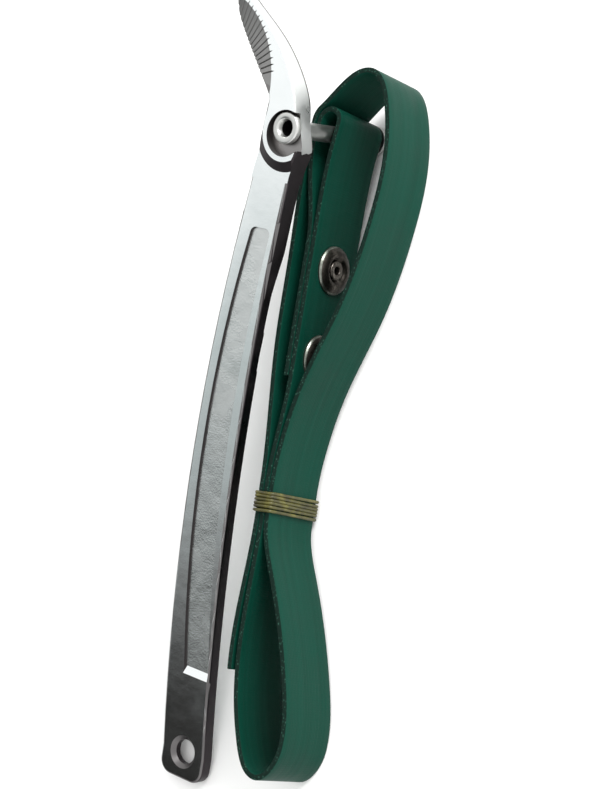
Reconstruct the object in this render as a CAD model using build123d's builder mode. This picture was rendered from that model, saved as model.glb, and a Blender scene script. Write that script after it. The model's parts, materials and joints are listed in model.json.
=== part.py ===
from build123d import *
from math import acos, atan2, cos, hypot, pi, radians, sin, tan
import os

# Strap-type oil filter wrench: a forged, chrome plated handle with a claw jaw, a long
# anchor pin standing out of the back of its head, and a rubber-faced belt whose riveted
# eye rides on the pin.  The rest of the belt is folded into a hank and tied with a band.
#
# Millimetres.  The handle is drawn in a plane of its own: X across, Y towards the jaw,
# Z out of its front face, with the pin's axis at the origin.  The wrench stands on the
# foot of the handle, the rear head of the pin and the edge of the belt, so the handle
# leans back by an angle worked out from these sizes.

# ---------------------------------------------------------------- driving dimensions
# handle
pin_to_hang_hole = 242.0     # pin axis to the hole in the foot
foot_overhang = 10.5         # hole centre to the end of the foot
bar_thickness = 5.5
head_thickness = 9.5
boss_rise = 1.5              # head face stands proud of the bar face
foot_width = 23.0
waist_width = 21.9           # half way along
neck_width = 18.0            # just below the head
foot_shift = -1.3            # middle of the foot, sideways from the pin
waist_shift = -10.0          # the bar bows this way half way along
neck_shift = -4.2
neck_drop = 20.0             # the neck, below the pin
neck_step_start = 46.0       # thick neck runs down to here
neck_step_end = 62.0
edge_round = 1.1             # forged edges
foot_corner = 5.5
hang_hole_diameter = 9.6
hang_hole_mouth = 12.8       # countersunk
panel_top = 38.0             # shallow panels: below the pin
panel_bottom = 209.0
panel_width_top = 9.6
panel_width = 12.6
panel_depth = 1.0
panel_corner = 2.6
panel_end_slope = 3.0

# jaw
seat_radius = 36.5           # the filter seat of the claw
seat_centre_x = -46.0
seat_centre_y = 12.0
jaw_reach = 46.6             # tip above the pin
jaw_tip_x = -30.4
jaw_side_x = -33.0           # furthest left
tip_thickness = 5.0
pad_radius = 25.5            # toothed pad stands in from the seat
bevel_depth = 4.0            # its front is bevelled back to the seat
pad_corner = 3.0
head_round = 1.0
tooth_pitch = 2.1
tooth_depth = 0.5
tooth_start = 12.0           # degrees round the filter, from straight across
tooth_arc = 62.0

# boss round the pin
lip_radius = 10.6
pocket_radius = 8.7
pocket_depth = 3.6
pocket_shift_x = 0.8
pocket_shift_y = -2.0
skirt_width = 3.7            # slope from the lip down to the bar

# pin
pin_diameter = 6.4
bore_clearance = 0.03        # to the head, on the radius
pin_flange_diameter = 12.0   # rolled front end
pin_flange_thickness = 2.9
pin_mouth_diameter = 8.2
pin_throat_diameter = 4.4
pin_throat_depth = 3.6
pin_drilling = 15.0
pin_rear_diameter = 11.6
pin_rear_thickness = 2.0
bare_pin = 16.0              # between the head and the belt
belt_end_clearance = 0.4     # between the belt and the rear head

# belt
belt_width = 27.0
belt_thickness = 2.1
belt_gap = 0.3               # between layers that lie together
eye_clearance = 0.35         # inside the eye, on the pin's radius
tab_lean = 8.0               # degrees
tab_middle = 60.7            # riveted tab: below the pin
tab_middle_x = 12.0
tab_length = 51.0
rivet_spacing = 34.0
hank_top = 32.8              # outside of the top fold, above the pin
hank_top_x = 12.4
top_fold_x = 32.9            # outside of the top fold, furthest from the pin
top_fold_y = -20.0
tie_drop = 124.0             # rubber band, below the pin
tie_x = 18.1
tie_lean = 9.0               # degrees
hank_bottom = 231.3          # outside of the bottom fold, below the pin
hank_bottom_x = 49.4
bottom_fold_x = 58.8
bottom_fold_y = -217.5
tail_drop = 197.0            # free end, below the pin
tail_x = 25.3

# rivets
rivet_cap_diameter = 18.6
rivet_cap_height = 2.6
rivet_cap_rim = 0.9
rivet_dish_diameter = 11.0
rivet_dish_depth = 1.4
rivet_tube_diameter = 5.0
rivet_bore_diameter = 3.2
rivet_head_diameter = 7.4
rivet_head_thickness = 0.9
rivet_washer_diameter = 13.0
rivet_washer_thickness = 1.2
rivet_fit = 0.05             # round the tube

# rubber band
band_turns = 7
band_cord = 1.7
band_pitch = 1.5
band_clearance = 0.3
band_corner = 1.6

# ---------------------------------------------------------------- worked out sizes
pin_radius = pin_diameter / 2
bar_front = -boss_rise
bar_back = bar_front - bar_thickness
head_back = -head_thickness
foot_y = -pin_to_hang_hole - foot_overhang
rear_radius = pin_rear_diameter / 2
pin_length = head_thickness + bare_pin + belt_width + belt_end_clearance + pin_rear_thickness + 0.7

rear_round = pin_rear_thickness / 3

# stand: the rounded back edge of the foot and the rounded rim of the rear head both
# touch the ground, so the depths below the pin's axis along the lean are equal
depth_difference = pin_length - rear_round + bar_back + edge_round
reach_difference = rear_radius - rear_round + foot_y + edge_round
lean = atan2(reach_difference, depth_difference) + acos(
    (edge_round - rear_round) / hypot(reach_difference, depth_difference))
ground = -(pin_length - rear_round) * cos(lean) - (rear_radius - rear_round) * sin(lean)
ground -= rear_round
foot_reach = foot_y * cos(lean) - bar_front * sin(lean)
tip_reach = jaw_reach * cos(lean) + tip_thickness * sin(lean)
middle_x = (bottom_fold_x + jaw_side_x) / 2
middle_y = (foot_reach + tip_reach) / 2
pin_home = Vector(-middle_x, -middle_y, -ground)
handle_plane = Plane(pin_home, x_dir=(1, 0, 0), z_dir=(0, -sin(lean), cos(lean)))
along = Axis(pin_home, handle_plane.y_dir)
outward = Axis(pin_home, handle_plane.z_dir)

# the belt's lower edge clears the rear head and comes down to the ground at the far fold
belt_edge = -(pin_length - pin_rear_thickness) * cos(lean) + rear_radius * sin(lean)
belt_edge += belt_end_clearance
belt_lean = atan2(belt_edge - ground, hank_bottom)
belt_plane = Plane(
    pin_home + Vector(0, 0, belt_edge), x_dir=(1, 0, 0),
    z_dir=(0, -sin(belt_lean), cos(belt_lean)))
half_belt = belt_thickness / 2
layer = belt_thickness + belt_gap

os.makedirs("parts", exist_ok=True)


def finish_node(part, name):
    """Label a finished sub-part and write it out."""
    part.label = name
    export_step(part, f"parts/{name}.step")


def side_profile(x):
    """A plane along the handle, seen from its right: X runs along it, Y out of its face."""
    return Plane(
        handle_plane.from_local_coords((x, 0, 0)),
        x_dir=handle_plane.y_dir, z_dir=handle_plane.x_dir)


def axial_profile(x, y):
    """A plane through an axis normal to the handle: X radial, Y out of its face."""
    return Plane(
        handle_plane.from_local_coords((x, y, 0)),
        x_dir=handle_plane.x_dir, z_dir=-handle_plane.y_dir)


# ---------------------------------------------------------------- handle
def bar_edge(side, inset_top, inset, top, bottom):
    """One long edge of the bar, or a line inside it: three points down its length."""
    waist_y = -pin_to_hang_hole / 2
    return (
        (neck_shift + side * inset_top / 2, top),
        (waist_shift + side * inset / 2, waist_y),
        (foot_shift + side * inset / 2, bottom),
    )


foot_end = -pin_to_hang_hole
left = bar_edge(-1, neck_width, waist_width, -neck_drop, foot_end)
right = bar_edge(1, neck_width, waist_width, -neck_drop, foot_end)
foot_half = foot_width / 2 - 0.6
hole_x = foot_shift

with BuildPart() as handle:
    # neck and bar, with the end of the foot
    with BuildSketch(handle_plane.offset(head_back)):
        with BuildLine():
            ThreePointArc(*left)
            Line(left[2], (foot_shift - foot_half, foot_y))
            Line((foot_shift - foot_half, foot_y), (foot_shift + foot_half, foot_y))
            Line((foot_shift + foot_half, foot_y), right[2])
            ThreePointArc(*right)
            Line(right[0], left[0])
        make_face()
    extrude(amount=bar_front - head_back)
    corners = handle.edges().filter_by(outward).group_by(along)[0]
    fillet(corners, foot_corner)
    with BuildSketch(side_profile(0)):
        with BuildLine():
            Polyline(
                (-neck_step_start, head_back), (-neck_step_end, bar_back),
                (foot_y - 1, bar_back), (foot_y - 1, head_back - 1),
                (-neck_step_start, head_back - 1), close=True)
        make_face()
    extrude(amount=3 * foot_width, both=True, mode=Mode.SUBTRACT)

    # forged edges, all but those at the neck and across the step
    end_face = handle.faces().sort_by(along)[-1]
    crosswise = handle.edges().filter_by(Axis.X).sort_by(along)[2:]
    rim = handle.edges().filter_by(outward, reverse=True)
    fillet([e for e in rim if e not in end_face.edges() and e not in crosswise], edge_round)

    # head and claw
    with BuildSketch(handle_plane.offset(head_back)):
        with BuildLine():
            Spline(left[0], (-11.0, -7.0), (-10.3, 3.0), (-9.7, 10.0),
                   tangents=[(0.1, 1), (0.05, 1)])
            Spline((-9.7, 10.0), (-15.4, 16.2), (-27.8, 29.8), (-31.9, 36.9), (jaw_side_x, 43.8),
                   tangents=[(-0.5, 1), (0, 1)])
            Spline((jaw_side_x, 43.8), (jaw_tip_x, jaw_reach), (-26.8, 45.4),
                   tangents=[(0, 1), (0.75, -0.65)])
            Spline((-26.8, 45.4), (-10.8, 32.0), (-0.4, 18.2), (4.3, 4.0),
                   tangents=[(0.75, -0.65), (0.15, -1)])
            Spline((4.3, 4.0), (7.4, -7.0), right[0], tangents=[(0.15, -1), (-0.05, -1)])
            Line(right[0], left[0])
        make_face()
    extrude(amount=head_thickness)
    # ease the inner corner under the pad, then the front edges
    inner_corner = handle.edges().filter_by(outward).filter_by(
        lambda e: handle_plane.to_local_coords(e.center()).Y > -neck_drop + edge_round)
    fillet(inner_corner, pad_corner)
    fillet([e for e in handle.faces().sort_by(outward)[-1].edges()
            if handle_plane.to_local_coords(e.center()).Y > -neck_drop + edge_round], head_round)
    # the claw thins towards its tip
    with BuildSketch(side_profile(0)):
        with BuildLine():
            Polyline(
                (lip_radius, head_back), (jaw_reach + 1, -tip_thickness),
                (jaw_reach + 1, head_back - 1), (lip_radius, head_back - 1), close=True)
        make_face()
    extrude(amount=3 * foot_width, both=True, mode=Mode.SUBTRACT)
    # bevel of the toothed pad: a cone about the filter's axis
    with BuildSketch(axial_profile(seat_centre_x, seat_centre_y)):
        with BuildLine():
            slope = (seat_radius - pad_radius) / bevel_depth
            Polyline(
                (pad_radius - bevel_depth, 1), (seat_radius + slope, 1),
                (pad_radius, -bevel_depth), (pad_radius - bevel_depth, -bevel_depth),
                close=True)
        make_face()
    filter_axis = Axis(
        handle_plane.from_local_coords((seat_centre_x, seat_centre_y, 0)), handle_plane.z_dir)
    revolve(axis=filter_axis, mode=Mode.SUBTRACT)
    # grooves that make the teeth, up the bevel
    with BuildPart(mode=Mode.PRIVATE) as groove:
        middle = (seat_radius + pad_radius) / 2
        bevel = atan2(bevel_depth, seat_radius - pad_radius)
        crest_plane = Plane(
            (middle, 0, -bevel_depth / 2), x_dir=(0, 1, 0), z_dir=(cos(bevel), 0, sin(bevel)))
        with BuildSketch(crest_plane):
            with BuildLine():
                half = tooth_pitch / 2
                Polyline((-half, half), (0, -tooth_depth), (half, half), close=True)
            make_face()
        extrude(amount=seat_radius, both=True)
    teeth = round(radians(tooth_arc) * middle / tooth_pitch)
    with Locations(Plane(filter_axis.position, x_dir=(1, 0, 0), z_dir=filter_axis.direction)):
        with PolarLocations(0, teeth, tooth_start, tooth_arc):
            add(groove.part, mode=Mode.SUBTRACT)
    # slope from the lip of the boss down to the bar
    with BuildSketch(axial_profile(pocket_shift_x, pocket_shift_y)):
        with BuildLine():
            Polyline(
                (lip_radius, 0), (lip_radius + skirt_width, bar_front),
                (3 * lip_radius, bar_front), (3 * lip_radius, 1), (lip_radius, 1), close=True)
        make_face()
    boss_axis = Axis(
        handle_plane.from_local_coords((pocket_shift_x, pocket_shift_y, 0)), handle_plane.z_dir)
    revolve(axis=boss_axis, revolution_arc=-180, mode=Mode.SUBTRACT)

    # pocket for the pin's rolled end, and the pin's hole
    with Locations(handle_plane.location):
        with Locations((pocket_shift_x, pocket_shift_y, -pocket_depth)):
            Cylinder(pocket_radius, 2 * pocket_depth, mode=Mode.SUBTRACT,
                     align=(Align.CENTER, Align.CENTER, Align.MIN))
        Cylinder(pin_radius + bore_clearance, 3 * head_thickness, mode=Mode.SUBTRACT)
    # hole to hang the wrench by, countersunk on both faces
    mouth_depth = (hang_hole_mouth - hang_hole_diameter) / 2
    with BuildSketch(axial_profile(hole_x, -pin_to_hang_hole)):
        with BuildLine():
            Polyline(
                (0, bar_front + 1), (hang_hole_mouth / 2 + 1, bar_front + 1),
                (hang_hole_diameter / 2, bar_front - mouth_depth),
                (hang_hole_diameter / 2, bar_back + mouth_depth),
                (hang_hole_mouth / 2 + 1, bar_back - 1), (0, bar_back - 1), close=True)
        make_face()
    hole_axis = Axis(
        handle_plane.from_local_coords((hole_x, -pin_to_hang_hole, 0)), handle_plane.z_dir)
    revolve(axis=hole_axis, mode=Mode.SUBTRACT)
    # shallow panels along both faces
    for face_z, inward in ((bar_front, -1), (bar_back, 1)):
        top = -panel_top if inward < 0 else -neck_step_end - panel_corner
        with BuildSketch(handle_plane.offset(face_z)) as panel:
            with BuildLine():
                low = bar_edge(-1, panel_width_top, panel_width, top, -panel_bottom)
                high = bar_edge(1, panel_width_top, panel_width, top, -panel_bottom)
                ThreePointArc(*low)
                Line(low[2], high[2])
                ThreePointArc(*high)
                Line(high[0], low[0])
            make_face()
            fillet(panel.vertices().sort_by(Axis.Y)[-2:], panel_corner)
        extrude(amount=inward * panel_depth, mode=Mode.SUBTRACT)
        # sloped lower end
        with BuildSketch(side_profile(foot_shift)):
            with BuildLine():
                Polyline(
                    (-panel_bottom, face_z), (-panel_bottom - panel_end_slope, face_z),
                    (-panel_bottom, face_z + inward * panel_depth), close=True)
            make_face()
        extrude(amount=panel_width / 2, both=True, mode=Mode.SUBTRACT)

finish_node(handle.part, "handle")

# ---------------------------------------------------------------- anchor pin
shank_end = -pin_length
flange_back = -pocket_depth
flange_front = flange_back + pin_flange_thickness
roll = pin_flange_thickness / 4
with BuildPart() as anchor_pin:
    with BuildSketch(axial_profile(0, 0)):
        with BuildLine():
            Polyline(
                (0, shank_end), (rear_radius, shank_end),
                (rear_radius, shank_end + pin_rear_thickness),
                (pin_radius, shank_end + pin_rear_thickness),
                (pin_radius, flange_back), (pin_flange_diameter / 2 - roll, flange_back),
                (pin_flange_diameter / 2, flange_back + roll),
                (pin_flange_diameter / 2, flange_front - roll),
                (pin_flange_diameter / 2 - roll, flange_front),
                (pin_mouth_diameter / 2 + roll / 2, flange_front),
                (pin_mouth_diameter / 2 - roll / 2, flange_front - roll / 2),
                (pin_throat_diameter / 2, flange_front - pin_throat_depth),
                (pin_throat_diameter / 2, flange_front - pin_drilling),
                (0, flange_front - pin_drilling), close=True)
        make_face()
    revolve(axis=outward)
    rear = anchor_pin.edges().filter_by(GeomType.CIRCLE)
    rear = rear.filter_by(lambda e: abs(e.radius - rear_radius) < edge_round / 10)
    fillet(rear.sort_by(outward)[0], rear_round)
finish_node(anchor_pin.part, "anchor_pin")

# ---------------------------------------------------------------- belt
def tab_point(drop, inward=0):
    """Middle of the riveted tab's outer layer; inward counts layers towards the bar."""
    a = radians(tab_lean)
    x = tab_middle_x + (drop - tab_middle) * tan(a)
    return (x - inward * layer * cos(a), -drop - inward * layer * sin(a))


def tie_point(count, rise=0):
    """Middle of a layer at the rubber band, counted to the right, or a bit up the hank."""
    a = radians(tie_lean)
    return (
        tie_x + count * layer * cos(a) - rise * sin(a),
        -tie_drop + count * layer * sin(a) + rise * cos(a))


eye_x = pin_radius + eye_clearance + half_belt
pin_low = (head_thickness + bare_pin) * sin(lean)
pin_high = (pin_length - pin_rear_thickness) * sin(lean)
eye_centre_y = pin_high
eye_top_y = eye_centre_y + eye_x
wrap = eye_x + layer + belt_gap      # the long fold passes round the eye
wrap_angle = radians(140)
tab_top = tab_middle - tab_length / 2
tab_foot = tab_middle + tab_length / 2
down = (sin(radians(tab_lean)), -cos(radians(tab_lean)))
up = (-down[0], -down[1])
tie_down = (sin(radians(tie_lean)), -cos(radians(tie_lean)))
tie_up = (-tie_down[0], -tie_down[1])
tie_half = band_turns * band_pitch / 2 + 1


def around_eye(angle):
    """A point on the long fold where it passes round the outside of the eye."""
    return (wrap * cos(angle), eye_centre_y + wrap * sin(angle))


def belt_course():
    """The belt's middle line, from its riveted end round to its free end."""
    crest = (hank_top_x, hank_top - half_belt)
    side = (top_fold_x - half_belt, top_fold_y)
    sole = (hank_bottom_x, -hank_bottom + half_belt)
    heel = (bottom_fold_x - half_belt, bottom_fold_y)
    return [
        # eye
        Line(tab_point(tab_foot, 1), tab_point(tab_top, 1)),
        Spline(tab_point(tab_top, 1), (-eye_x, pin_low - pin_radius), (-eye_x, eye_centre_y),
               tangents=[up, (0, 1)]),
        ThreePointArc((-eye_x, eye_centre_y), (0, eye_top_y), (eye_x, eye_centre_y)),
        Spline((eye_x, eye_centre_y), (eye_x, pin_low - pin_radius), tab_point(tab_top),
               tangents=[(0, -1), down]),
        Line(tab_point(tab_top), tab_point(tab_foot)),
        # down through the rubber band to the far fold
        Spline(tab_point(tab_foot), tie_point(0, tie_half), tangents=[down, tie_down]),
        Line(tie_point(0, tie_half), tie_point(0, -tie_half)),
        Spline(tie_point(0, -tie_half), (29.9, -199.7), (38.4, -220.0), sole,
               tangents=[tie_down, (1, 0)]),
        Spline(sole, heel, tangents=[(1, 0), (0, 1)]),
        Spline(heel, (51.5, -194.4), (33.4, -157.3), tie_point(1, -tie_half),
               tangents=[(0, 1), tie_up]),
        # up the far side, over the top and down behind the eye
        Line(tie_point(1, -tie_half), tie_point(1, tie_half)),
        Spline(tie_point(1, tie_half), (19.1, -104.0), (21.4, -86.0), (28.7, -57.0), side,
               tangents=[tie_up, (0, 1)]),
        Spline(side, (25.2, 18.4), crest, tangents=[(0, 1), (-1, 0)]),
        Spline(crest, around_eye(wrap_angle),
               tangents=[(-1, 0), (-sin(wrap_angle), cos(wrap_angle))]),
        ThreePointArc(around_eye(wrap_angle), around_eye((wrap_angle + pi) / 2), around_eye(pi)),
        Spline(around_eye(pi), (-0.7, -40.7), (4.6, -74.9), tie_point(-1, tie_half),
               tangents=[(0, -1), tie_down]),
        Line(tie_point(-1, tie_half), tie_point(-1, -tie_half)),
        Spline(tie_point(-1, -tie_half), (21.4, -171.9), (tail_x, -tail_drop),
               tangents=[tie_down, (0.25, -1)]),
    ]


def belt_face(edge, side):
    """One face of the belt beside a stretch of its course; side is 1 or -1."""
    straight = edge.geom_type == GeomType.LINE
    bow = edge.geom_type == GeomType.CIRCLE
    steps = 1 if straight else 2 if bow else max(4, round(edge.length / (4 * belt_thickness)))
    points = []
    for step in range(steps + 1):
        point, heading = edge @ (step / steps), edge % (step / steps)
        reach = side * half_belt
        points.append((point.X - reach * heading.Y, point.Y + reach * heading.X))
    if straight:
        return Line(*points)
    if bow:
        return ThreePointArc(*points)
    return Spline(*points, tangents=[edge % 0, edge % 1])


def tab_plane(drop, lift):
    """Plane on the riveted tab, its normal pointing away from the bar."""
    a = radians(tab_lean)
    x, y = tab_point(drop)
    normal = belt_plane.x_dir * cos(a) + belt_plane.y_dir * sin(a)
    origin = belt_plane.from_local_coords((x, y, belt_width / 2)) + normal * lift
    return Plane(origin, x_dir=belt_plane.z_dir, z_dir=normal)


rivet_drops = (tab_middle - rivet_spacing / 2, tab_middle + rivet_spacing / 2)

with BuildPart() as belt:
    # one stretch of the course at a time, each joined to the last
    for stretch in belt_course():
        with BuildSketch(belt_plane):
            with BuildLine():
                near, far = belt_face(stretch, 1), belt_face(stretch, -1)
                Line(near @ 0, far @ 0)
                Line(near @ 1, far @ 1)
            make_face()
        extrude(amount=belt_width, clean=False)
    # holes for the rivets, through both layers of the tab
    for drop in rivet_drops:
        with BuildSketch(tab_plane(drop, half_belt + belt_gap)):
            Circle(rivet_tube_diameter / 2 + rivet_fit)
        extrude(amount=-2 * layer - belt_gap, mode=Mode.SUBTRACT, clean=False)
finish_node(belt.part, "belt")

# ---------------------------------------------------------------- rivets
tab_outer = half_belt                      # heights above the middle of the outer layer
tab_inner = -layer - half_belt
dish_floor = tab_outer + rivet_cap_height - rivet_dish_depth
washer_face = tab_inner - rivet_washer_thickness


def rivet_section(drop):
    """A plane through a rivet's axis: X radial, Y out of the tab."""
    flat = tab_plane(drop, 0)
    return Plane(flat.origin, x_dir=flat.x_dir, z_dir=-flat.y_dir)


def rivet_axis(drop):
    flat = tab_plane(drop, 0)
    return Axis(flat.origin, flat.z_dir)


with BuildPart() as rivet_caps:
    for drop in rivet_drops:
        with BuildSketch(rivet_section(drop)):
            with BuildLine():
                rim = rivet_cap_diameter / 2
                crown = (rim + rivet_dish_diameter / 2) / 2
                hole = rivet_tube_diameter / 2 + rivet_fit
                Polyline(
                    (rim, tab_outer + rivet_cap_rim), (rim, tab_outer), (hole, tab_outer),
                    (hole, dish_floor))
                Line((hole, dish_floor), (rivet_head_diameter / 2, dish_floor))
                Line((rivet_head_diameter / 2, dish_floor),
                     (rivet_dish_diameter / 2, tab_outer + rivet_cap_height))
                ThreePointArc(
                    (rivet_dish_diameter / 2, tab_outer + rivet_cap_height),
                    (crown, tab_outer + 0.84 * rivet_cap_height),
                    (rim, tab_outer + rivet_cap_rim))
            make_face()
        revolve(axis=rivet_axis(drop))
finish_node(rivet_caps.part, "rivet_caps")

with BuildPart() as rivet_tubes:
    for drop in rivet_drops:
        with BuildSketch(rivet_section(drop)):
            with BuildLine():
                bore, tube = rivet_bore_diameter / 2, rivet_tube_diameter / 2
                head_edge = rivet_head_diameter / 2
                Polyline(
                    (bore, dish_floor + rivet_head_thickness),
                    (head_edge - rivet_head_thickness / 2, dish_floor + rivet_head_thickness),
                    (head_edge, dish_floor), (tube, dish_floor), (tube, washer_face),
                    (head_edge, washer_face),
                    (head_edge - rivet_head_thickness / 2, washer_face - rivet_head_thickness),
                    (bore, washer_face - rivet_head_thickness), close=True)
            make_face()
        revolve(axis=rivet_axis(drop))
finish_node(rivet_tubes.part, "rivet_tubes")

with BuildPart() as rivet_washers:
    for drop in rivet_drops:
        with Locations(tab_plane(drop, tab_inner).location):
            Cylinder(rivet_washer_diameter / 2, rivet_washer_thickness,
                     align=(Align.CENTER, Align.CENTER, Align.MAX))
            Cylinder(rivet_tube_diameter / 2 + rivet_fit, 2 * rivet_washer_thickness,
                     mode=Mode.SUBTRACT)
finish_node(rivet_washers.part, "rivet_washers")

# ---------------------------------------------------------------- rubber band
tie_normal = belt_plane.x_dir * tie_up[0] + belt_plane.y_dir * tie_up[1]
hank_thickness = 2 * layer + belt_thickness
band_reach = band_clearance + band_cord / 2


band_plane = Plane(
    belt_plane.from_local_coords((*tie_point(0, 0), belt_width / 2)),
    x_dir=belt_plane.z_dir, z_dir=tie_normal)
with BuildSketch(band_plane) as band_loop:
    RectangleRounded(
        belt_width + 2 * band_reach, hank_thickness + 2 * band_reach, band_corner)
band_path = band_loop.sketch.face().outer_wire()

# the turns lie side by side and touch, so they are drawn together and swept once
with BuildPart() as rubber_band:
    with BuildSketch(Plane(band_path @ 0, x_dir=tie_normal, z_dir=band_path % 0)):
        with GridLocations(band_pitch, 0, band_turns, 1):
            RegularPolygon(band_cord / 2, 8)
    sweep(path=band_path)
finish_node(rubber_band.part, "rubber_band")
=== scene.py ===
# %% [markdown]
# # A strap oil filter wrench
#
# The wrench is a forged, chrome plated handle with a claw at its head.  A long pin stands out
# of the back of the head, and the riveted eye of a rubber-faced belt rides on it.  On the shelf
# the rest of the belt is folded into a hank and tied with a rubber band.
#
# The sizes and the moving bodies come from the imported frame.  This lesson dresses it.

# %% Load the frame
import json
import math

import bmesh
import bpy
import numpy as np
from mathutils import Matrix, Quaternion, Vector, noise
from mathutils.geometry import interpolate_bezier


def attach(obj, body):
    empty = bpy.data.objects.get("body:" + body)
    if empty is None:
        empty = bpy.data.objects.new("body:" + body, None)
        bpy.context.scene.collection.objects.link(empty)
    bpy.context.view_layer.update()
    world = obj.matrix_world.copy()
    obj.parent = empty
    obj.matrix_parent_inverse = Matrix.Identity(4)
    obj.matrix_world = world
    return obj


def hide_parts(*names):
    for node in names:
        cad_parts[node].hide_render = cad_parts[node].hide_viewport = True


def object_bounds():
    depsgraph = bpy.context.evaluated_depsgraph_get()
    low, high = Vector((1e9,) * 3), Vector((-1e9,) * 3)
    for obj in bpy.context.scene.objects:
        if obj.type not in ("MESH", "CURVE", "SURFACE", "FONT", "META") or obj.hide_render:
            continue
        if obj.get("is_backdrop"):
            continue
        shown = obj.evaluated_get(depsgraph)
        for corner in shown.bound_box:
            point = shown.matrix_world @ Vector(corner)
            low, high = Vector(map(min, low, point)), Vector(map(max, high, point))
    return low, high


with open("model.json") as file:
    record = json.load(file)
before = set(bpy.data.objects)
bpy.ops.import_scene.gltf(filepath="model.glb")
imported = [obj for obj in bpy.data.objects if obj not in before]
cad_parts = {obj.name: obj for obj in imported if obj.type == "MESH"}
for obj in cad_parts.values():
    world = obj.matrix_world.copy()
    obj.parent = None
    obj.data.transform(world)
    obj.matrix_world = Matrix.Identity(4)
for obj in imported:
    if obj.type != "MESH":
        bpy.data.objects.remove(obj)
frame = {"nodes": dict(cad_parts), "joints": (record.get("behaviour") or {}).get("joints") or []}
cad_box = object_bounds()
print("nodes:", sorted(frame["nodes"]))
print("box in mm:", [round(1000 * side, 1) for side in cad_box[1] - cad_box[0]])

# %% [markdown]
# ## Two planes to work in
#
# Everything is placed from the pin.  The handle leans back on its foot, so it has a plane of
# its own: X across, Y towards the claw, Z out of its front face.  The belt stands on its edge
# on the bench, tilted by about a degree, so it has another: X and Y in the bench, Z up the
# belt's width.  A matrix for each turns millimetres in that plane into the row's metres.

# %% Handle plane and belt plane
mm = 0.001                   # metres in a millimetre
touching = 0.000001          # points nearer than this, in metres, are one point
joint = frame["joints"][0]
pin_home = Vector(joint["pos_m"])
pin_axis = Vector(joint["axis"]).normalized()


def plane(origin, x_dir, z_dir):
    """A matrix from millimetres in a plane to metres in the row frame."""
    y_dir = z_dir.cross(x_dir)
    turn = Matrix((x_dir, y_dir, z_dir)).transposed().to_4x4()
    return Matrix.Translation(origin) @ turn @ Matrix.Scale(mm, 4)


belt_tilt = 0.019415         # radians
belt_edge_drop = 51.063 * mm  # from the pin's axis down to the belt's lower edge
across = Vector((1, 0, 0))
handle_plane = plane(pin_home, across, pin_axis)
belt_up = Vector((0, -math.sin(belt_tilt), math.cos(belt_tilt)))
belt_plane = plane(pin_home - Vector((0, 0, belt_edge_drop)), across, belt_up)
print("handle leans back", round(math.degrees(math.asin(-pin_axis.y)), 2), "degrees")

# %% [markdown]
# ## The camera
#
# The view is from the right and above, about 0.8 m off, with a long lens.  It is rolled so that
# the handle stands nearly upright in the view.  The camera is aimed at a point, then rolled
# about its own axis.

# %% Camera
camera = bpy.data.objects.new("camera", bpy.data.cameras.new("camera"))
bpy.context.scene.collection.objects.link(camera)
bpy.context.scene.camera = camera
camera.location = Vector((497.3, -2.4, 636.8)) * mm
aim = Vector((7.9, 7.4, 30.0)) * mm
roll = math.radians(-72.67)
level = (aim - camera.location).to_track_quat("-Z", "Y")
camera.rotation_mode = "QUATERNION"
camera.rotation_quaternion = level @ Quaternion((0, 0, 1), roll)
camera.data.sensor_fit = "VERTICAL"
camera.data.sensor_height = 24.0
camera.data.lens = 63.88
print("camera distance in mm:", round((camera.location - aim).length / mm))

# %% [markdown]
# ## Colours and nodes
#
# Every colour is written as the hex code a paint program shows, and one function turns it into
# the linear numbers that the renderer works in.  One helper adds a node and wires its inputs.

# %% Hex colours and a node helper


def linear(code):
    """An sRGB hex code as linear red, green, blue and alpha."""
    parts = [int(code[i:i + 2], 16) / 255 for i in (1, 3, 5)]
    return [p / 12.92 if p <= 0.04045 else ((p + 0.055) / 1.055) ** 2.4 for p in parts] + [1]


def add(material, kind, links=None, **settings):
    """A new node of that kind; links go to its inputs, settings to its properties."""
    node = material.node_tree.nodes.new("ShaderNode" + kind)
    for name, value in settings.items():
        setattr(node, name, value)
    for socket, value in (links or {}).items():
        if isinstance(value, bpy.types.NodeSocket):
            material.node_tree.links.new(value, node.inputs[socket])
        else:
            node.inputs[socket].default_value = value
    return node


def new_material(name):
    """An empty material and its output node."""
    material = bpy.data.materials.new(name)
    material.use_nodes = True
    material.node_tree.nodes.clear()
    return material, add(material, "OutputMaterial")


def cover(material, output, inputs):
    """Gives a material its surface, one shader with those inputs, and hands the material back."""
    shader = add(material, "BsdfPrincipled", inputs)
    material.node_tree.links.new(shader.outputs[0], output.inputs["Surface"])
    return material


def ramp(material, factor, *stops):
    """A colour ramp's colour socket; stops are (place, hex code)."""
    node = add(material, "ValToRGB", {"Fac": factor})
    elements = node.color_ramp.elements
    while len(elements) < len(stops):
        elements.new(0.5)
    for element, (place, code) in zip(elements, stops):
        element.position, element.color = place, linear(code)
    return node.outputs["Color"]


print("linear mid grey:", [round(v, 3) for v in linear("#808080")])

# %% [markdown]
# ## Bench and light
#
# Polished metal shows its surroundings more than its own colour, so the light matters as much
# as the plating.  The bench is a plain pale sheet.  The sky is a white tent with one dark
# stretch on the side away from the camera, towards the foot and about 30 degrees up.  The foot
# of the handle mirrors it and goes dark, while the claw mirrors the white.  Two soft lamps
# shape the belt.

# %% Bench
bench_half_width = 6.0       # metres
bench_drop = 0.2 * mm        # keeps the bench clear of the faces that stand on it
# matt paper, nearly white: it takes soft shadows and has no shine of its own
bench_material = cover(
    *new_material("bench_paper"), {"Base Color": linear("#f7f7f6"), "Roughness": 0.9})

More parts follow.
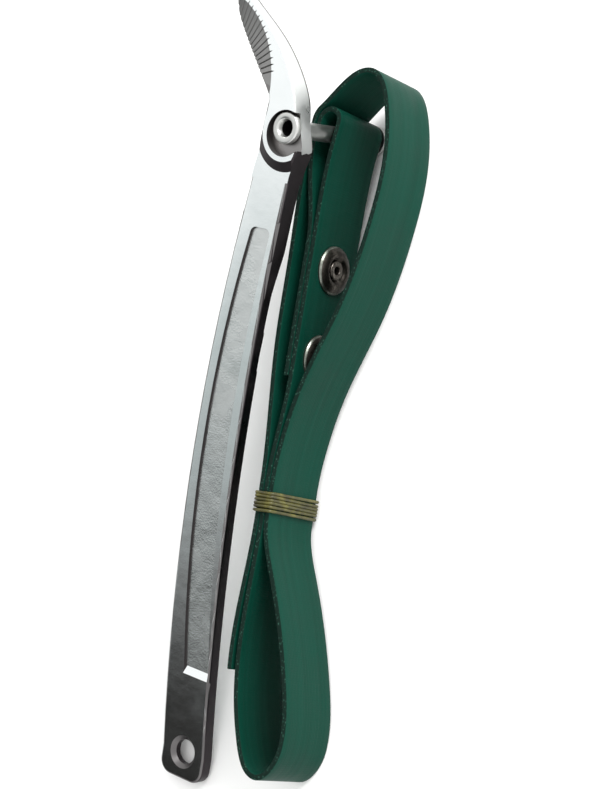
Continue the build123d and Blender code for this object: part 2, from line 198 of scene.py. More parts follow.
bench_mesh = bpy.data.meshes.new("bench")
bench_shape = bmesh.new()
bmesh.ops.create_grid(bench_shape, x_segments=1, y_segments=1, size=bench_half_width)
bench_shape.to_mesh(bench_mesh)
bench_shape.free()
bench = bpy.data.objects.new("bench", bench_mesh)
bench_mesh.materials.append(bench_material)
bench.location.z = -bench_drop
bpy.context.scene.collection.objects.link(bench)
bench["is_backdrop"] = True
print("bench is", 2 * bench_half_width, "m wide,", round(bench_drop / mm, 2), "mm below the wrench")

# %% Sky and lamps
world = bpy.data.worlds.new("studio")
bpy.context.scene.world = world
world.use_nodes = True
world.node_tree.nodes.clear()
dark_side = Vector((-0.52, -0.70, 0.49)).normalized()
direction = add(world, "TexCoord").outputs["Generated"]
towards = add(world, "VectorMath", {0: direction, 1: dark_side}, operation="DOT_PRODUCT")
# towards is 1 in the middle of the dark stretch; it is white from 36 degrees off, pale grey
# between 30 and 26, and dark within 20
tent = ramp(
    world, towards.outputs["Value"], (0.81, "#ffffff"), (0.865, "#b9c0c0"), (0.90, "#a7acac"),
    (0.92, "#767676"), (0.94, "#252423"))
sky = add(world, "Background", {"Color": tent, "Strength": 1.3})
add(world, "OutputWorld", {"Surface": sky.outputs[0]})


def lamp(name, place, target, width, power):
    """A square soft light."""
    data = bpy.data.lights.new(name, "AREA")
    data.size, data.energy = width, power
    light = bpy.data.objects.new(name, data)
    light.location = place
    light.rotation_euler = (Vector(target) - Vector(place)).to_track_quat("-Z", "Y").to_euler()
    bpy.context.scene.collection.objects.link(light)
    print(name, power, "W")


# a key lamp over the claw's end, and a weak one that lifts the shadows at the foot
lamp("key", (0.75, 1.2, 0.8), (0, 0, 0.02), 0.7, 27)
lamp("fill", (0.2, -1.1, 0.9), (0, 0, 0.02), 1.0, 2)

# %% [markdown]
# ## Chrome plate on forged steel
#
# Bright chrome is nearly a mirror: metallic, roughness about 0.1, a very slightly cool grey.
# What makes it look forged is under the plating.  The steel was only ground, not polished flat,
# so reflections swim over ripples a few millimetres long, and a fine pebble shows up close.
# Sheltered corners get painted shade, darker the more closed in they are.  One function makes
# every finish on the handle: the less a place was polished, the rougher its plating.

# %% Chrome


def chrome_plate(name, ripple, pebble, roughness, tint, corner_shade="#4a4644"):
    """Chrome over steel: ripple and pebble are bump heights in metres, corner_shade is the painted
    shade in the corners.
    """
    material, output = new_material(name)
    place = add(material, "TexCoord").outputs["Object"]
    # ripples about 9 mm long, pebble about 0.7 mm, smears about 30 mm
    waves = add(material, "TexNoise", {"Vector": place, "Scale": 110.0, "Detail": 2.0})
    grains = add(material, "TexNoise", {"Vector": place, "Scale": 1400.0, "Detail": 3.0})
    smears = add(material, "TexNoise", {
        "Vector": place, "Scale": 35.0, "Detail": 5.0, "Distortion": 0.8})
    low = add(material, "Bump", {
        "Height": waves.outputs["Fac"], "Distance": ripple, "Strength": 1.0})
    fine = add(material, "Bump", {
        "Height": grains.outputs["Fac"], "Distance": pebble, "Strength": 1.0,
        "Normal": low.outputs["Normal"]})
    gloss = add(material, "MapRange", {
        "Value": smears.outputs["Fac"], "From Min": 0.3, "From Max": 0.7,
        "To Min": roughness * 0.7, "To Max": roughness * 1.5})
    # painted shade: ambient occlusion darkens sheltered corners towards corner_shade
    corner = add(material, "AmbientOcclusion", {"Distance": 0.004}, samples=8)
    plate = ramp(material, corner.outputs["AO"], (0.25, corner_shade), (0.75, tint))
    return cover(material, output, {
        "Base Color": plate, "Metallic": 1.0, "Roughness": gloss.outputs["Result"],
        "Normal": fine.outputs["Normal"]})


handle_finishes = [
    # polished flats: close to a mirror, so they show the tent and its dark stretch
    chrome_plate("chrome_plate", 0.00005, 0.000006, 0.11, "#dfe3e3"),
    # side walls and neck slopes: a dull, dark tint painted as their dark reflection and shade, which
    # sets off the bright flats beside them
    chrome_plate("wall_painted_dark", 0.0002, 0.00003, 0.38, "#3a3638"),
    # inner face of the claw: matt mid grey, so its teeth read by shade and not by glare
    chrome_plate("ground_toothed_pad", 0.00008, 0.00002, 0.42, "#7f7f7e", "#6c6b69"),
    # sunk panel: struck by a die, so its reflections are hazy and a little broken
    chrome_plate("pressed_panel_floor", 0.00016, 0.00005, 0.24, "#cdd0cf", "#7e8180"),
    # pocket round the pin's end: a soft grey with no clear reflection, painted as the shade in the
    # recess
    chrome_plate("pocket_painted_shade", 0.0003, 0.00005, 0.3, "#8e8c8b", "#696765"),
    # rounded edges, the claw's rim and the hang hole's rim: a grey line instead of a bright one,
    # painted as their darker reflection and shade
    chrome_plate("rounded_edge_painted_dark", 0.0001, 0.00002, 0.36, "#666464"),
    # sides of the claw and head: plated but unpolished, pale with a soft sheen
    chrome_plate("satin_plated_side", 0.0001, 0.00002, 0.34, "#cdcfce", "#7d7b79")]
print(len(handle_finishes), "finishes on the handle")

# %% [markdown]
# ## The handle
#
# A drop forging: one bar, thick at the head, with a claw whose inner face is cut into teeth.
# The frame's solid has every form already, so a copy is used.  Its loose triangles are merged
# into whole faces, and it is shaded smooth except across real corners.

# %% Shading helpers


def to_piece(name, shape, corner_angle):
    """A finished shape as an object, shaded smooth except across corners."""
    bmesh.ops.recalc_face_normals(shape, faces=shape.faces)
    for face in shape.faces:
        face.smooth = True
    for edge in shape.edges:
        edge.smooth = edge.calc_face_angle(0) < math.radians(corner_angle)
    mesh = bpy.data.meshes.new(name)
    shape.to_mesh(mesh)
    shape.free()
    piece = bpy.data.objects.new(name, mesh)
    bpy.context.scene.collection.objects.link(piece)
    print(name, len(mesh.polygons), "faces")
    return piece


def finish_piece(piece, body, slot, node, *materials):
    """Gives a piece its finish and body, and lets it stand for its frame node; slot is not used."""
    for material in materials:
        piece.data.materials.append(material)
    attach(piece, body)
    if node:
        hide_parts(node)


print("triangles in the frame's handle:", len(frame["nodes"]["handle"].data.polygons))

# %% Forging
to_handle = handle_plane.inverted()
face_turn = handle_plane.to_3x3().normalized().inverted()
forging = bmesh.new()
forging.from_mesh(frame["nodes"]["handle"].data)
bmesh.ops.remove_doubles(forging, verts=forging.verts, dist=2 * touching)
bmesh.ops.dissolve_limit(
    forging, angle_limit=math.radians(0.4), verts=forging.verts, edges=forging.edges)
print("faces once merged:", len(forging.faces))

# %% [markdown]
# ## The claw's rim
#
# The claw thins towards its tip, so its back slopes.  One cut 0.7 mm in front of that back
# marks off the rounded rim, which is painted grey as its darker reflection.  It adds edges to carry
# that finish and moves nothing.

# %% Claw rim


def spot_of(item):
    """Middle of a face or an edge, in handle plane millimetres."""
    middle = sum((vert.co for vert in item.verts), Vector()) / len(item.verts)
    return to_handle @ middle


claw_bottom = 7.0            # the claw is what lies above this, in handle plane millimetres
back_slope = math.radians(7.2)
rim_start = Vector((0, 12.0, -8.65))
rim_front = Vector((0, -math.sin(back_slope), math.cos(back_slope)))
claw = [face for face in forging.faces if spot_of(face).y > claw_bottom]
claw += list({edge for face in claw for edge in face.edges})
claw += list({
    vert for edge in claw if isinstance(edge, bmesh.types.BMEdge) for vert in edge.verts})
bmesh.ops.bisect_plane(
    forging, geom=claw, dist=touching, plane_co=handle_plane @ rim_start,
    plane_no=face_turn.inverted() @ rim_front)
bmesh.ops.triangulate(forging, faces=[face for face in forging.faces if len(face.verts) > 4])
print("faces with the rim marked off:", len(forging.faces))

# %% [markdown]
# ## A finish for every face
#
# A face's finish follows from where it is and which way it looks.  Its middle and its normal
# are taken in the handle's own plane: a tilt with z near 1 looks straight out of the front,
# and one with z near 0 looks sideways.

# %% Handle
flat, painted_dark_wall, pad, floor, pocket, painted_dark_edge, side = range(len(handle_finishes))
# round places on the forging, as x, y and a reach about them, in millimetres
boss_x, boss_y, boss_reach = 0.8, -2.0, 8.75
filter_x, filter_y, seat_reach = -46.0, 12.0, 36.7
hole_x, hole_y, hole_rim = -1.3, -242.0, 6.6
# bands along the handle and in its depth, as from and to
pocket_depths, panel_depths = (-4.2, -0.2), (-2.6, -2.4)
neck_span, panel_span = (-18, 0), (-209.5, -38)
bar_top, seat_bottom = -8, 15
# how far a face looks out of the front: above the first, nearly flat, and below the last, a side
facing, not_quite_flat, sideways = 0.9, 0.97, 0.55


def between(value, span):
    """Whether a value lies inside a span."""
    return span[0] < value < span[1]



def finish_of(face):
    """Which finish a face has, from where it is and which way it looks."""
    spot, tilt = spot_of(face), face_turn @ face.normal
    from_boss = Vector((spot.x - boss_x, spot.y - boss_y, 0))
    from_filter = math.hypot(spot.x - filter_x, spot.y - filter_y)
    from_hole = math.hypot(spot.x - hole_x, spot.y - hole_y)
    # the pocket's floor, and its walls, which look inwards, painted grey as the pocket's shade
    if from_boss.length < boss_reach and between(spot.z, pocket_depths):
        if tilt.z > facing or tilt.dot(from_boss) < 0:
            return pocket
    # the slopes where the head steps down to the neck, painted dark as shade, but for those at its
    # right edge
    if between(spot.y, neck_span) and between(tilt.z, (0.1, not_quite_flat)):
        if spot.z < -0.1 and spot.x < 9:
            return painted_dark_wall
    # the bar: sides painted dark, the sunk panel, rounded edges and the hang hole's rim painted
    # grey, bright flats
    if spot.y < bar_top:
        if abs(tilt.z) < sideways:
            return painted_dark_wall
        if between(spot.y, panel_span) and between(spot.z, panel_depths) and tilt.z > facing:
            return floor
        rounded = sideways <= tilt.z < 0.995 and spot.y < -14 and tilt.y < 0.25
        on_hole_rim = from_hole < hole_rim and tilt.z < not_quite_flat
        return painted_dark_edge if rounded or on_hole_rim else flat
    # the head and claw: the toothed seat, then the rims painted grey, then plain sides and flats
    if from_filter < seat_reach and spot.y > seat_bottom:
        return pad
    on_rim = tilt.x > 0 and abs(tilt.z) < 0.3 and (spot - rim_start).dot(rim_front) < 0
    if on_rim or (tilt.x < 0 and abs(tilt.z) < not_quite_flat):
        return painted_dark_edge
    return side if abs(tilt.z) < sideways else flat


for face in forging.faces:
    face.material_index = finish_of(face)
finished = [face.material_index for face in forging.faces]
print("faces of each finish:", [finished.count(index) for index in range(len(handle_finishes))])
handle = to_piece("forged_handle", forging, corner_angle=14)
evened = handle.modifiers.new("flat_faces_stay_flat", "WEIGHTED_NORMAL")
evened.keep_sharp = True
finish_piece(handle, "wrench", "handle", "handle", *handle_finishes)

# %% [markdown]
# ## Turned pieces
#
# The pin, the rivet caps, the tubular rivets and their washers are all round, so one helper
# makes them: a row of points from the axis outwards is drawn once and spun a full turn.

# %% Turning helper


def turned(name, places, profile, steps=64, corner_angle=30, closed=True):
    """Spins a profile of (radius, height) in mm about Z of each place."""
    whole = bmesh.new()
    for place in places:
        start = len(whole.verts)
        spots = [whole.verts.new((radius, 0, height)) for radius, height in profile]
        following = spots[1:] + spots[:1] if closed else spots[1:]
        edges = [whole.edges.new(pair) for pair in zip(spots, following)]
        bmesh.ops.spin(
            whole, geom=spots + edges, axis=(0, 0, 1), cent=(0, 0, 0),
            angle=2 * math.pi, steps=steps, use_merge=True)
        whole.verts.ensure_lookup_table()
        bmesh.ops.transform(whole, matrix=place, verts=whole.verts[start:])
    bmesh.ops.remove_doubles(whole, verts=whole.verts, dist=touching)
    return to_piece(name, whole, corner_angle)


def arc(centre, radius, start, end, steps=5):
    """Points on a rounded corner, in degrees."""
    turns = [math.radians(start + (end - start) * i / steps) for i in range(steps + 1)]
    return [(centre[0] + radius * math.cos(a), centre[1] + radius * math.sin(a)) for a in turns]


print("a quarter round:", [(round(x, 2), round(y, 2)) for x, y in arc((0, 0), 1, 0, 90, 2)])

# %% [markdown]
# ## The anchor pin
#
# A rivet-like pin: its drilled front end is rolled over into a flange in the head's pocket, and
# a wide head at the far end keeps the belt on.  The drilling is painted near black as the shade
# inside it, and reads as a black hole.

# %% Pin
rear_radius, rear_edge, pin_radius = 5.8, 0.67, 3.2
pin_end, flange_back, flange_front = -55.6, -3.6, -0.7
flange_centre, flange_round = 5.28, 0.72
bore_radius, bore_bottom = 2.2, -15.7
pin_outline = (
    [(0, pin_end)]
    + arc((rear_radius - rear_edge, pin_end + rear_edge), rear_edge, -90, 0)
    + arc((rear_radius - 0.3, pin_end + 1.7), 0.3, 0, 90)
    + [(pin_radius + 0.25, pin_end + 2.0), (pin_radius, pin_end + 2.25), (pin_radius, flange_back)]
    + arc((flange_centre, flange_back + flange_round), flange_round, -90, 0)
    + arc((flange_centre, flange_front - flange_round), flange_round, 0, 90)
    + arc((4.25, flange_front - 0.9), 0.9, 90, 155)
    + [(2.9, -2.6), (2.35, -3.8), (bore_radius, -4.4), (bore_radius, bore_bottom), (0, bore_bottom)])
pin = turned("anchor_rod", [handle_plane], pin_outline, closed=False)
bore_mouth, bore_depths = 3.1, (-16, -1.4)
# faces inside the drilling take the bore's painted shade
for face in pin.data.polygons:
    spot = to_handle @ face.center
    if math.hypot(spot.x, spot.y) < bore_mouth and between(spot.z, bore_depths):
        face.material_index = 1
# the rod is smooth but hazy; the bore is painted near black as the shade deep inside it
finish_piece(pin, "wrench", "pin", "anchor_pin",
             chrome_plate("pin_plating", 0.00003, 0.000004, 0.3, "#c4c5c2"),
             chrome_plate("bore_painted_shade", 0.0001, 0.00002, 0.6, "#0f0e0e"))

# %% [markdown]
# ## The belt's course
#
# The belt is one strip about 886 mm long.  It starts under the riveted tab, goes round the pin
# as the eye, comes back over itself, runs down to a far fold, up to a top fold, down again past
# the eye and ends near the bottom.  Seen along the belt's width that is one line, drawn
# here in pieces: straight runs, round arcs, and smooth runs through a few points.

# %% Course helpers
belt_width, belt_thickness, belt_gap = 27.0, 2.1, 0.3
layer = belt_thickness + belt_gap
tab_lean, tie_lean = math.radians(8), math.radians(9)
tab_down = (math.sin(tab_lean), -math.cos(tab_lean))
tie_down = (math.sin(tie_lean), -math.cos(tie_lean))
# the riveted tab runs down from the eye; drops are measured from the pin
tab_x, tab_top, tab_middle, tab_end = 12.0, 35.2, 60.7, 86.2
# the band ties the layers here, and half the tied length lies on either side
tie_x, tie_y, tie_half = 19.7, -133.9, 6.25


def back(heading):
    """The opposite heading."""
    return (-heading[0], -heading[1])


def tab_point(drop, inward=0):
    """Middle of the riveted tab's outer layer, or of a layer nearer the bar."""
    x = tab_x + (drop - tab_middle) * math.tan(tab_lean)
    return (x - inward * layer * math.cos(tab_lean), -drop - inward * layer * math.sin(tab_lean))


def tie_point(count, rise=0):
    """Middle of a layer where the band ties it, counted to the right."""
    return (tie_x + count * layer * math.cos(tie_lean) - rise * math.sin(tie_lean),
            tie_y + count * layer * math.sin(tie_lean) + rise * math.cos(tie_lean))


def smooth_run(points, first, last, step=1.2):
    """Close points on the smoothest curve through some points, between two headings."""
    spots = np.array(points, float)
    gaps = np.linalg.norm(np.diff(spots, axis=0), axis=1)
    count = len(spots)
    rows, sides = np.eye(count), np.zeros((count, 2))
    for end, heading in ((0, first), (count - 1, last)):
        sides[end] = np.array(heading) / np.linalg.norm(heading)
    for i in range(1, count - 1):
        before, after = 1 / gaps[i - 1], 1 / gaps[i]
        rows[i, i - 1:i + 2] = before, 2 * (before + after), after
        sides[i] = 3 * (
            (spots[i] - spots[i - 1]) * before**2 + (spots[i + 1] - spots[i]) * after**2)
    speeds = np.linalg.solve(rows, sides)
    run = [Vector((*spots[0], 0))]
    for i, gap in enumerate(gaps):
        knots = [spots[i], spots[i] + speeds[i] * gap / 3,
                 spots[i + 1] - speeds[i + 1] * gap / 3, spots[i + 1]]
        steps = max(2, round(gap / step))
        run += interpolate_bezier(*[Vector((*knot, 0)) for knot in knots], steps + 1)[1:]
    return run


def straight_run(start, end, step=1.7):
    """Even points on a straight."""
    start, end = Vector((*start, 0)), Vector((*end, 0))
    steps = max(1, round((end - start).length / step))
    return [start.lerp(end, i / steps) for i in range(steps + 1)]


def round_run(centre, radius, start, end, steps):
    """Even points on an arc, in degrees."""
    return [Vector((x, y, 0)) for x, y in arc(centre, radius, start, end, steps)]


print("each layer of belt takes", layer, "mm")

# %% Course
eye_radius, eye_height, eye_bottom = 4.6, 10.376, 1.74
# the belt's last pass comes over the eye and lies on it from this angle on
wrap_radius, wrap_angle = 7.3, 140
far_side = (
    -wrap_radius * math.sin(math.radians(wrap_angle)),
    wrap_radius * math.cos(math.radians(wrap_angle)))
wrap_start = arc((0, eye_height), wrap_radius, wrap_angle, wrap_angle, 1)[0]
fold_bottom, fold_side = (49.4, -230.25), (57.75, -217.5)
crest_side, crest = (31.85, -20.0), (12.4, 31.75)
runs = [
    # up the riveted tab's inner layer, round the eye and down its outer layer
    straight_run(tab_point(tab_end, 1), tab_point(tab_top, 1)),
    smooth_run([tab_point(tab_top, 1), (-eye_radius, eye_bottom), (-eye_radius, eye_height)],
               back(tab_down), (0, 1)),
    round_run((0, eye_height), eye_radius, 180, 0, 24),
    smooth_run([(eye_radius, eye_height), (eye_radius, eye_bottom), tab_point(tab_top)],
               (0, -1), tab_down),
    straight_run(tab_point(tab_top), tab_point(tab_end)),
    # through the tie and on to the far fold
    smooth_run([tab_point(tab_end), tie_point(0, tie_half)], tab_down, tie_down),
    straight_run(tie_point(0, tie_half), tie_point(0, -tie_half)),
    smooth_run([tie_point(0, -tie_half), (29.9, -199.7), (38.4, -220.0), fold_bottom],
               tie_down, (1, 0)),
    smooth_run([fold_bottom, fold_side], (1, 0), (0, 1)),
    # back up through the tie to the top fold
    smooth_run([fold_side, (51.5, -194.4), (32.2, -158.6), tie_point(1, -tie_half)],
               (0, 1), back(tie_down)),
    straight_run(tie_point(1, -tie_half), tie_point(1, tie_half)),
    smooth_run([tie_point(1, tie_half), (20.0, -107.0), (21.7, -88.0), (28.7, -57.0), crest_side],
               back(tie_down), (0, 1)),
    smooth_run([crest_side, (25.2, 18.4), crest], (0, 1), (-1, 0)),
    # over the eye and down beside the bar to the loose tail
    smooth_run([crest, wrap_start], (-1, 0), far_side),
    round_run((0, eye_height), wrap_radius, wrap_angle, 180, 8),
    smooth_run([(-wrap_radius, eye_height), (-0.7, -40.7), (4.6, -74.9), tie_point(-1, tie_half)],
               (0, -1), tie_down),
    straight_run(tie_point(-1, tie_half), tie_point(-1, -tie_half)),
    smooth_run([tie_point(-1, -tie_half), (21.4, -171.9), (25.3, -197.0)], tie_down, (0.25, -1)),
]
course = [runs[0][0]] + [spot for run in runs for spot in run[1:]]
lengths = [0.0]
for here, there in zip(course, course[1:]):
    lengths.append(lengths[-1] + (there - here).length)
print("belt", round(lengths[-1], 1), "mm in", len(course), "points")

# %% [markdown]
# ## Rubber-faced webbing
#
# The belt is woven cotton with green rubber pressed into both faces.  The face is smooth but
# the weave still shows through as a faint grid about 0.9 mm across, with lengthwise drag marks
# from the calender.  The cut edges show the dark core and the pale ends of the threads.
# The pattern follows the belt, so its coordinates are distance along and across it.

# %% Belt materials


def belt_face_material():
    """Green rubber: hardly any shine, so the weave and the drag marks carry the look."""
    material, output = new_material("green_rubber_webbing")
    uv = add(material, "TexCoord").outputs["UV"]
    # drag marks about 110 mm long and 2.4 mm wide, clouds about 26 mm, threads 0.9 mm apart
    drags = add(material, "Mapping", {"Vector": uv, "Scale": (9.0, 420.0, 1.0)})
    drag = add(material, "TexNoise", {
        "Vector": drags.outputs["Vector"], "Scale": 1.0, "Detail": 4.0})
    cloud = add(material, "TexNoise", {
        "Vector": uv, "Scale": 38.0, "Detail": 4.0, "Roughness": 0.6})
    mixed = add(material, "Math", {
        0: drag.outputs["Fac"], 1: cloud.outputs["Fac"]}, operation="ADD")
    half = add(material, "Math", {0: mixed.outputs[0], 1: 0.5}, operation="MULTIPLY")
    green = ramp(
        material, half.outputs[0], (0.30, "#033025"), (0.5, "#04362a"), (0.70, "#063b2f"))
    rows = add(material, "TexWave", {"Vector": uv, "Scale": 350.0}, bands_direction="X")
    columns = add(material, "TexWave", {"Vector": uv, "Scale": 350.0}, bands_direction="Y")
    weave = add(material, "Math", {
        0: rows.outputs["Fac"], 1: columns.outputs["Fac"]}, operation="MULTIPLY")
    bumps = add(material, "Bump", {
        "Height": weave.outputs[0], "Distance": 0.00005, "Strength": 0.6})
    dents = add(material, "Bump", {
        "Height": half.outputs[0], "Distance": 0.0004, "Strength": 0.5,
        "Normal": bumps.outputs["Normal"]})
    dull = add(material, "MapRange", {
        "Value": cloud.outputs["Fac"], "From Min": 0.3, "From Max": 0.7,
        "To Min": 0.42, "To Max": 0.62})
    return cover(material, output, {
        "Base Color": green, "Roughness": dull.outputs["Result"], "Specular IOR Level": 0.1,
        "Normal": dents.outputs["Normal"]})


def belt_edge_material():
    """The cut edge: dark rubber dotted with the paler ends of threads, and no shine at all."""
    material, output = new_material("cut_belt_edge")
    place = add(material, "TexCoord").outputs["Object"]
    # thread ends about 1.1 mm apart, fuzz about half that
    threads = add(material, "Mapping", {"Vector": place, "Scale": (900.0, 900.0, 900.0)})
    ends = add(material, "TexVoronoi", {"Vector": threads.outputs["Vector"], "Scale": 1.0})
    fuzz = add(material, "TexNoise", {
        "Vector": threads.outputs["Vector"], "Scale": 2.0, "Detail": 3.0})
    spot = add(material, "Math", {
        0: ends.outputs["Distance"], 1: fuzz.outputs["Fac"]}, operation="ADD")
    core = ramp(
        material, spot.outputs[0], (0.62, "#2b4a3f"), (0.74, "#122b23"), (0.95, "#0c1f19"))
    bumps = add(material, "Bump", {"Height": spot.outputs[0], "Distance": 0.0001, "Strength": 0.5})
    return cover(material, output, {
        "Base Color": core, "Roughness": 0.8, "Specular IOR Level": 0.1,
        "Normal": bumps.outputs["Normal"]})


belt_face, belt_edge = belt_face_material(), belt_edge_material()
print("belt materials:", belt_face.name, "and", belt_edge.name)

# %% [markdown]
# ## The belt
#
# A short column of edges as wide as the belt is pushed along the course, one extrusion per
# point, which leaves a clean grid.  Each vertex remembers how far along it is, for the pattern.
# Solidify gives the thickness, with the cut edge as its rim, and a bevel eases the rim.

# %% Belt
columns_across = 8
strip = bmesh.new()
along = strip.verts.layers.float.new("along")
rise = [belt_width * i / columns_across for i in range(columns_across + 1)]
column = [strip.verts.new((course[0].x, course[0].y, height)) for height in rise]
edge_run = [strip.edges.new(pair) for pair in zip(column, column[1:])]
for here, there, distance in zip(course, course[1:], lengths[1:]):
    pushed = bmesh.ops.extrude_edge_only(strip, edges=edge_run)["geom"]
    fresh = [item for item in pushed if isinstance(item, bmesh.types.BMVert)]
    edge_run = [item for item in pushed if isinstance(item, bmesh.types.BMEdge)
                and all(vert in fresh for vert in item.verts)]
    bmesh.ops.translate(strip, verts=fresh, vec=there - here)
    for vert in fresh:
        vert[along] = distance
pattern = strip.loops.layers.uv.new("belt")
for face in strip.faces:
    for corner in face.loops:
        corner[pattern].uv = (corner.vert[along] * mm, corner.vert.co.z * mm)
bmesh.ops.transform(strip, matrix=belt_plane, verts=strip.verts)
strip_mesh = bpy.data.meshes.new("green_belt")
strip.to_mesh(strip_mesh)
strip.free()
belt = bpy.data.objects.new("green_belt", strip_mesh)
bpy.context.scene.collection.objects.link(belt)
for material in (belt_face, belt_edge):
    strip_mesh.materials.append(material)
solid = belt.modifiers.new("thickness", "SOLIDIFY")
solid.thickness, solid.offset = belt_thickness * mm, 0
solid.use_even_offset, solid.material_offset_rim = True, 1
eased = belt.modifiers.new("eased_rim", "BEVEL")
eased.width, eased.segments, eased.limit_method = 0.3 * mm, 2, "ANGLE"
eased.angle_limit, eased.profile, eased.material = math.radians(60), 0.5, -1


def tab_place(drop):
    """Plane on the riveted tab: Z points away from the bar, X up the belt's width."""
    x, y = tab_point(drop)
    face_out = Vector((math.cos(tab_lean), math.sin(tab_lean), 0))
    turn = belt_plane.to_3x3().normalized()
    return plane(belt_plane @ Vector((x, y, belt_width / 2)), belt_up, turn @ face_out)


rivet_offset, drill_radius, drill_back, drill_front = 17, 2.55, -4.2, 1.6
rivet_places = [tab_place(tab_middle - rivet_offset), tab_place(tab_middle + rivet_offset)]
drill_outline = [
    (0, drill_back), (drill_radius, drill_back), (drill_radius, drill_front), (0, drill_front)]
drills = turned("rivet_drills", rivet_places, drill_outline, steps=32, closed=False)
holes = belt.modifiers.new("rivet_holes", "BOOLEAN")
holes.object, holes.operation, holes.solver = drills, "DIFFERENCE", "EXACT"


def freeze(piece):
    """The piece with its modifiers worked into its mesh."""
    ready = piece.evaluated_get(bpy.context.evaluated_depsgraph_get())
    shape = bmesh.new()
    shape.from_mesh(bpy.data.meshes.new_from_object(ready))
    name = piece.name
    bpy.data.objects.remove(piece)
    return to_piece(name, shape, corner_angle=35)


belt = freeze(belt)
bpy.data.objects.remove(drills)
finish_piece(belt, "strap", "belt", "belt", belt_face, belt_edge)

# %% [markdown]
# ## Rivets
#
# Two tubular rivets close the eye.  Each has a domed cap with a dished middle on the outside and
# a flat washer on the inside.  The caps are plain steel gone brown, lighter round the rim: partly
# rubbed wear, partly a painted highlight.

# %% Rivet steel


def rivet_steel(name, dark, light):
    """Bare steel stained in patches: the lighter the patch, the more rubbed and shiny it is."""
    material, output = new_material(name)
    place = add(material, "TexCoord").outputs["Object"]
    # stains about 3 mm across, grain about 0.5 mm
    stain = add(material, "TexNoise", {
        "Vector": place, "Scale": 320.0, "Detail": 5.0, "Roughness": 0.65})
    grain = add(material, "TexNoise", {"Vector": place, "Scale": 1900.0, "Detail": 2.0})
    tone = ramp(material, stain.outputs["Fac"], (0.35, dark), (0.65, light))
    gloss = add(material, "MapRange", {
        "Value": stain.outputs["Fac"], "From Min": 0.35, "From Max": 0.65,
        "To Min": 0.42, "To Max": 0.26})
    bumps = add(material, "Bump", {
        "Height": grain.outputs["Fac"], "Distance": 0.00002, "Strength": 0.6})
    return cover(material, output, {
        "Base Color": tone, "Metallic": 1.0, "Roughness": gloss.outputs["Result"],
        "Normal": bumps.outputs["Normal"]})


cap_steel = rivet_steel("browned_steel", "#37332f", "#625d57")
print("the caps' steel:", cap_steel.name)

# %% Rivets
cap_outline = [
    (9.3, 1.05), (9.3, 1.75), (9.12, 2.05), (8.65, 2.42), (7.95, 2.88), (7.25, 3.25), (6.6, 3.5),
    (6.1, 3.62), (5.7, 3.65), (5.35, 3.53), (5.0, 3.25), (4.55, 2.8), (4.15, 2.46), (3.75, 2.29),
    (3.4, 2.25), (drill_radius, 2.25), (drill_radius, 1.05)]
lit_rim_radius = 8.5                # from here outwards the domes are painted lighter, partly rubbed wear and partly a painted highlight
caps = turned("rivet_cap_pair", rivet_places, cap_outline)
for face in caps.data.polygons:
    spots = [place.inverted() @ face.center for place in rivet_places]
    face.material_index = int(min(math.hypot(spot.x, spot.y) for spot in spots) > lit_rim_radius)
finish_piece(caps, "strap", "rivet_caps", "rivet_caps", cap_steel,
             rivet_steel("cap_rim_wear_and_highlight", "#5f625b", "#8c9087"))

tube_outline = (
    arc((1.95, 2.8), 0.35, 180, 90) + arc((3.2, 2.65), 0.5, 90, -10)
    + [(3.6, 2.25), (2.5, 2.25), (2.5, -4.65), (3.6, -4.65)]
    + arc((3.2, -5.05), 0.5, 10, -90) + arc((1.95, -5.2), 0.35, -90, -180))
tubes = turned("rivet_tube_pair", rivet_places, tube_outline, steps=48)
finish_piece(
    tubes, "strap", "rivets", "rivet_tubes", rivet_steel("rivet_steel", "#4c4642", "#8a847d"))

washer_outline = [
    (drill_radius, -3.45), (6.3, -3.45), (6.5, -3.65), (6.5, -4.45), (6.3, -4.65), (2.75, -4.65),
    (drill_radius, -4.5)]
washers = turned("rivet_washer_pair", rivet_places, washer_outline, steps=48)
finish_piece(
    washers, "strap", "rivets", "rivet_washers", rivet_steel("washer_steel", "#5e5a56", "#96918b"))

# %% [markdown]
# ## The rubber band
#
# An ordinary olive-yellow rubber band, wound six times round the hank.  Wound by hand, its
# turns lie unevenly: each is a round cord on a rounded rectangle, a little tilted and pulled.

# %% Rubber band


def band_rubber():
    """Olive rubber: a soft shine on each cord, and a little light let in, as rubber does."""
    material, output = new_material("olive_rubber")
    place = add(material, "TexCoord").outputs["Object"]
    # cloudy patches about 4 mm across, grain about 0.4 mm
    tone = add(material, "TexNoise", {"Vector": place, "Scale": 260.0, "Detail": 4.0})
    colour = ramp(
        material, tone.outputs["Fac"], (0.32, "#2b290e"), (0.5, "#413f13"), (0.7, "#5f5b20"))
    grain = add(material, "TexNoise", {"Vector": place, "Scale": 2600.0, "Detail": 2.0})
    bumps = add(material, "Bump", {
        "Height": grain.outputs["Fac"], "Distance": 0.00002, "Strength": 0.5})
    return cover(material, output, {
        "Base Color": colour, "Roughness": 0.45, "IOR": 1.52, "Subsurface Weight": 0.15,
        "Subsurface Radius": (0.001, 0.0007, 0.0003), "Subsurface Scale": 0.6,
        "Normal": bumps.outputs["Normal"]})


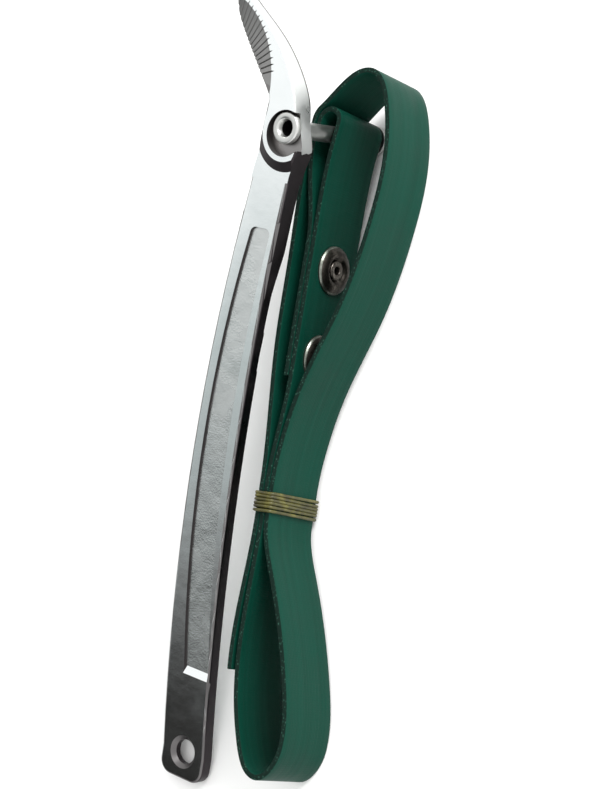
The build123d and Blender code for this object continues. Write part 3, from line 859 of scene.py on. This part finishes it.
cord_radius, cord_pitch, turns, band_corner = 0.65, 1.3, 6, 1.3
band_slack, most_sway = 0.1, 0.35
tie_turn = belt_plane.to_3x3().normalized()
tie_up = tie_turn @ Vector((-tie_down[0], -tie_down[1], 0))
band_place = plane(belt_plane @ Vector((*tie_point(0), belt_width / 2)), belt_up, tie_up)
half_tall = belt_width / 2 + band_slack + cord_radius
half_deep = (2 * layer + belt_thickness) / 2 + band_slack + cord_radius
band_curve = bpy.data.curves.new("wound_band", "CURVE")
band_curve.dimensions = "3D"
band_curve.bevel_depth, band_curve.bevel_resolution = cord_radius * mm, 3
band_curve.resolution_u = 6
for turn in range(turns):
    level = (turn - (turns - 1) / 2) * cord_pitch
    loop = []
    for side_x, side_y, start in ((1, 1, 0), (-1, 1, 90), (-1, -1, 180), (1, -1, 270)):
        centre = (side_x * (half_tall - band_corner), side_y * (half_deep - band_corner))
        loop += arc(centre, band_corner, start, start + 90, 3)
    spline = band_curve.splines.new("POLY")
    spline.points.add(len(loop) - 1)
    for point, (x, y) in zip(spline.points, loop):
        sway = most_sway * noise.noise(Vector((x * 0.11, y * 0.3, turn * 7.3)))
        point.co = (*(band_place @ Vector((x, y, level + sway))), 1)
        point.radius = 0.93 + 0.12 * noise.noise(Vector((x * 0.2, turn * 3.1, y)))
    spline.use_cyclic_u = True
band = bpy.data.objects.new("wound_band", band_curve)
bpy.context.scene.collection.objects.link(band)
ready_band = band.evaluated_get(bpy.context.evaluated_depsgraph_get())
band_mesh = bpy.data.meshes.new_from_object(ready_band)
bpy.data.objects.remove(band)
band_mesh.shade_smooth()
band = bpy.data.objects.new("wound_band", band_mesh)
bpy.context.scene.collection.objects.link(band)
finish_piece(band, "strap", "band", "rubber_band", band_rubber())
print("band", turns, "turns,", len(band_mesh.polygons), "faces")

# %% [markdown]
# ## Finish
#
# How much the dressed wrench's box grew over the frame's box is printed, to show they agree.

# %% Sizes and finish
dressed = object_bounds()
growth = [[round((b - a) / mm, 2) for a, b in zip(p, q)] for p, q in zip(cad_box, dressed)]
print("grew by mm:", growth)
bpy.context.scene.view_settings.view_transform = "Standard"
